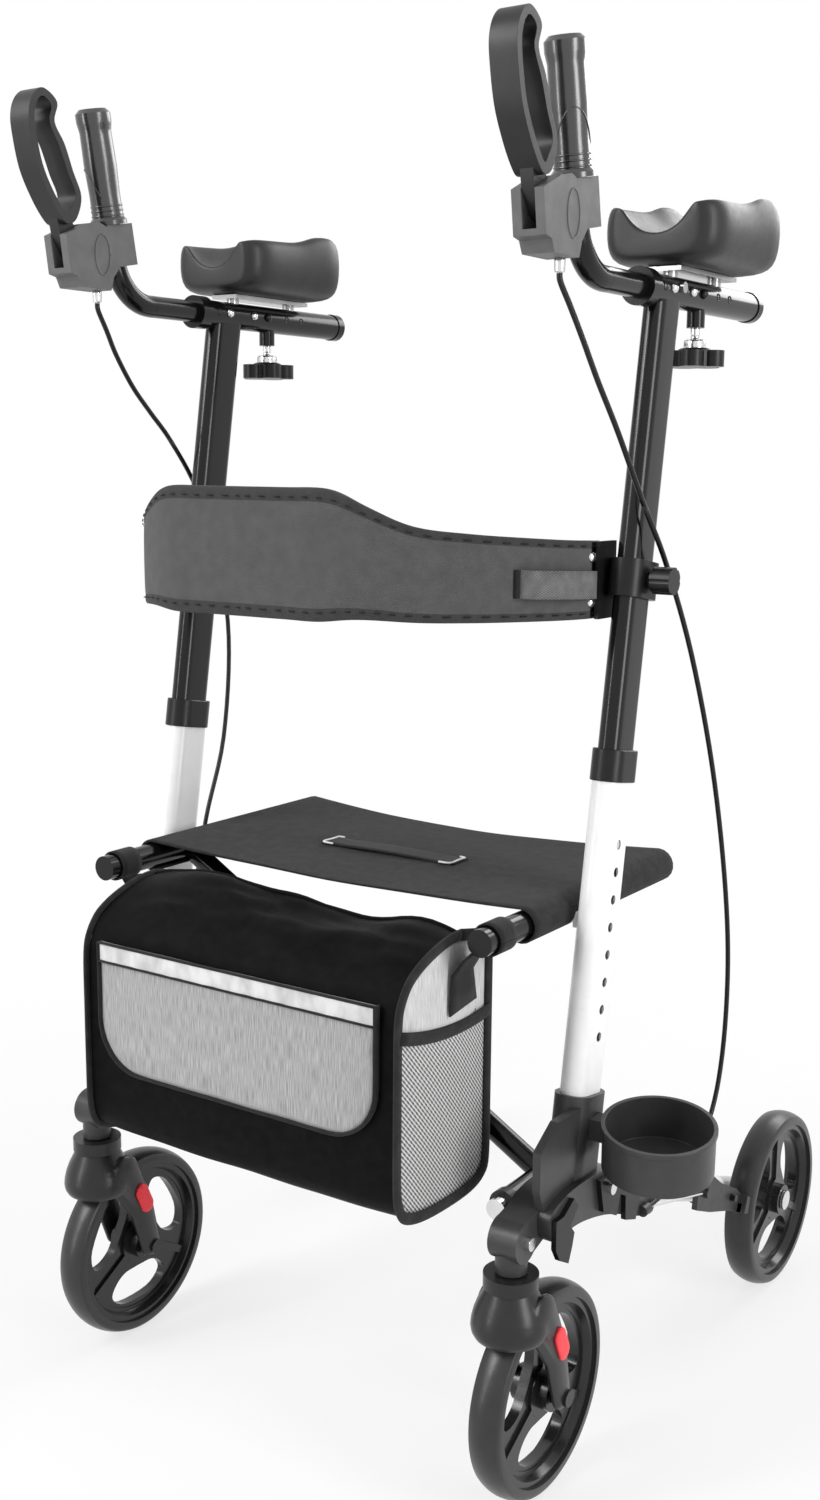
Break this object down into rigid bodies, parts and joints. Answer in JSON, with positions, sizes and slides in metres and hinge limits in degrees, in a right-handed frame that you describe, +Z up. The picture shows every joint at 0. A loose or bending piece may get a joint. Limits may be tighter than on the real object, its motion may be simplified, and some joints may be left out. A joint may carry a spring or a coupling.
{
  "type": "upright walker",
  "caption": "Folding upright walker with forearm pads, loop brake levers, swivel front wheels, fabric seat, bag and back strap",
  "frame": {"origin": "Floor level, centre of the four wheel axles, at the mount floor", "axes": "+Z up, -Y toward the front casters, +X toward the user's left"},
  "size_m": [0.7111, 0.7363, 1.28],
  "materials": {
    "black_metal": "gloss",
    "white_metal": "gloss",
    "dark_plastic": "matte",
    "clip_plastic": "satin",
    "bright_metal": "polished",
    "rim_plastic": "satin",
    "tread": "matte",
    "reflector_red": "gloss",
    "pad_foam": "matte",
    "grip_rubber": "matte",
    "brake_plastic": "matte",
    "cable_sheath": "satin",
    "seat_fabric": "woven",
    "bag_fabric": "woven",
    "flap_fabric": "woven",
    "strap_fabric": "woven"
  },
  "bodies": {
    "frame_right": {"right_casting": "dark_plastic", "right_clips": "clip_plastic", "right_bolts": "bright_metal", "right_upright": "white_metal", "right_collar": "dark_plastic", "right_rear_tube": "white_metal", "right_cable": "cable_sheath"},
    "frame_left": {"left_casting": "dark_plastic", "left_clips": "clip_plastic", "left_bolts": "bright_metal", "left_upright": "white_metal", "left_collar": "dark_plastic", "left_rear_tube": "white_metal", "left_cable": "cable_sheath", "cup_holder": "dark_plastic"},
    "brace_a": {"brace_a": "black_metal", "cross_bolt": "bright_metal", "seat": "seat_fabric", "seat_strap": "seat_fabric"},
    "brace_b": {"brace_b": "black_metal"},
    "bag_body": {"bag": "bag_fabric"},
    "flap": {"bag_flap": "flap_fabric"},
    "mast_right": {"right_mast": "black_metal", "right_fittings": "bright_metal", "right_pad": "pad_foam", "right_clamp": "clip_plastic", "back_strap": "strap_fabric"},
    "clamp_knob_right": {"right_clamp_knob": "clip_plastic"},
    "button_right": {"right_button": "bright_metal"},
    "handle_right": {"right_handle": "black_metal", "right_grip": "grip_rubber", "right_housing": "dark_plastic"},
    "lever_right": {"right_lever": "dark_plastic"},
    "reach_knob_right": {"right_reach_knob": "clip_plastic"},
    "caster_right": {"right_fork": "clip_plastic", "right_reflector": "reflector_red"},
    "front_wheel_right": {"right_front_rim": "rim_plastic", "right_front_tyre": "tread"},
    "rear_wheel_right": {"right_rear_rim": "rim_plastic", "right_rear_tyre": "tread"},
    "brake_right": {"right_brake": "brake_plastic"},
    "mast_left": {"left_mast": "black_metal", "left_fittings": "bright_metal", "left_pad": "pad_foam", "left_clamp": "clip_plastic"},
    "clamp_knob_left": {"left_clamp_knob": "clip_plastic"},
    "button_left": {"left_button": "bright_metal"},
    "handle_left": {"left_handle": "black_metal", "left_grip": "grip_rubber", "left_housing": "dark_plastic"},
    "lever_left": {"left_lever": "dark_plastic"},
    "reach_knob_left": {"left_reach_knob": "clip_plastic"},
    "caster_left": {"left_fork": "clip_plastic", "left_reflector": "reflector_red"},
    "front_wheel_left": {"left_front_rim": "rim_plastic", "left_front_tyre": "tread"},
    "rear_wheel_left": {"left_rear_rim": "rim_plastic", "left_rear_tyre": "tread"},
    "brake_left": {"left_brake": "brake_plastic"}
  },
  "joints": [
    {"name": "fold", "type": "hinge", "parent": "frame_right", "child": "brace_a", "pos_m": [-0.223, -0.216, 0.277], "axis": [0, -1, 0], "range_deg": [0, 44], "deforming": ["seat", "seat_strap", "bag", "bag_flap", "back_strap"]},
    {"name": "fold_cross", "type": "hinge", "parent": "brace_a", "child": "brace_b", "pos_m": [0, -0.203, 0.406], "axis": [0, -1, 0], "range_deg": [-88, 0]},
    {"name": "fold_far", "type": "hinge", "parent": "brace_b", "child": "frame_left", "pos_m": [0.223, -0.19, 0.277], "axis": [0, -1, 0], "range_deg": [0, 44]},
    {"name": "bag_hang", "type": "hinge", "parent": "brace_a", "child": "bag_body", "pos_m": [0.223, -0.295, 0.535], "axis": [0, -1, 0], "range_deg": [-44, 0]},
    {"name": "flap_lift", "type": "hinge", "parent": "bag_body", "child": "flap", "pos_m": [0, -0.3803, 0.486], "axis": [-1, 0, 0], "range_deg": [0, 100]},
    {"name": "height_right", "type": "slide", "parent": "frame_right", "child": "mast_right", "axis": [0, 0.1599, 0.9871], "range_m": [-0.127, 0], "deforming": ["right_cable"]},
    {"name": "button_press_right", "type": "slide", "parent": "mast_right", "child": "button_right", "axis": [1, 0, 0], "range_m": [0, 0.0035], "stiffness_N_per_m": 800},
    {"name": "reach_right", "type": "slide", "parent": "mast_right", "child": "handle_right", "axis": [0, -1, 0], "range_m": [-0.03, 0.06]},
    {"name": "lever_squeeze_right", "type": "hinge", "parent": "handle_right", "child": "lever_right", "pos_m": [-0.26, -0.297, 1.138], "axis": [-1, 0, 0], "range_deg": [0, 15], "stiffness_Nm_per_rad": 1.5},
    {"name": "brake_press_right", "type": "hinge", "parent": "frame_right", "child": "brake_right", "pos_m": [-0.278, 0.12596, 0.14837], "axis": [1, 0, 0], "range_deg": [0, 7.5]},
    {"name": "caster_right", "type": "hinge", "parent": "frame_right", "child": "caster_right", "pos_m": [-0.2545, -0.304, 0.22], "axis": [0, 0, 1], "continuous": true},
    {"name": "front_wheel_right", "type": "hinge", "parent": "caster_right", "child": "front_wheel_right", "pos_m": [-0.2545, -0.252, 0.1], "axis": [1, 0, 0], "continuous": true},
    {"name": "rear_wheel_right", "type": "hinge", "parent": "frame_right", "child": "rear_wheel_right", "pos_m": [-0.277, 0.252, 0.1], "axis": [1, 0, 0], "continuous": true},
    {"name": "reach_knob_right", "type": "hinge", "parent": "mast_right", "child": "reach_knob_right", "pos_m": [-0.26, -0.005, 1.04], "axis": [0, 0, 1], "continuous": true},
    {"name": "clamp_knob_right", "type": "hinge", "parent": "mast_right", "child": "clamp_knob_right", "pos_m": [-0.289, -0.11857, 0.83799], "axis": [1, 0, 0], "continuous": true},
    {"name": "height_left", "type": "slide", "parent": "frame_left", "child": "mast_left", "axis": [0, 0.1599, 0.9871], "range_m": [-0.127, 0], "deforming": ["left_cable"]},
    {"name": "button_press_left", "type": "slide", "parent": "mast_left", "child": "button_left", "axis": [-1, 0, 0], "range_m": [0, 0.0035], "stiffness_N_per_m": 800},
    {"name": "reach_left", "type": "slide", "parent": "mast_left", "child": "handle_left", "axis": [0, -1, 0], "range_m": [-0.03, 0.06]},
    {"name": "lever_squeeze_left", "type": "hinge", "parent": "handle_left", "child": "lever_left", "pos_m": [0.26, -0.297, 1.138], "axis": [-1, 0, 0], "range_deg": [0, 15], "stiffness_Nm_per_rad": 1.5},
    {"name": "brake_press_left", "type": "hinge", "parent": "frame_left", "child": "brake_left", "pos_m": [0.278, 0.12596, 0.14837], "axis": [1, 0, 0], "range_deg": [0, 7.5]},
    {"name": "caster_left", "type": "hinge", "parent": "frame_left", "child": "caster_left", "pos_m": [0.2545, -0.304, 0.22], "axis": [0, 0, 1], "continuous": true},
    {"name": "front_wheel_left", "type": "hinge", "parent": "caster_left", "child": "front_wheel_left", "pos_m": [0.2545, -0.252, 0.1], "axis": [1, 0, 0], "continuous": true},
    {"name": "rear_wheel_left", "type": "hinge", "parent": "frame_left", "child": "rear_wheel_left", "pos_m": [0.277, 0.252, 0.1], "axis": [1, 0, 0], "continuous": true},
    {"name": "reach_knob_left", "type": "hinge", "parent": "mast_left", "child": "reach_knob_left", "pos_m": [0.26, -0.005, 1.04], "axis": [0, 0, 1], "continuous": true},
    {"name": "clamp_knob_left", "type": "hinge", "parent": "mast_left", "child": "clamp_knob_left", "pos_m": [0.289, -0.11857, 0.83799], "axis": [1, 0, 0], "continuous": true}
  ],
  "couplings": [
    {"joint": "fold_cross", "follows": "fold", "ratio": -2},
    {"joint": "fold_far", "follows": "fold", "ratio": 1},
    {"joint": "bag_hang", "follows": "fold", "ratio": -1},
    {"joint": "brake_press_right", "follows": "lever_squeeze_right", "ratio": 0.5},
    {"joint": "brake_press_left", "follows": "lever_squeeze_left", "ratio": 0.5},
    {"joint": "height_left", "follows": "height_right", "ratio": 1}
  ]
}
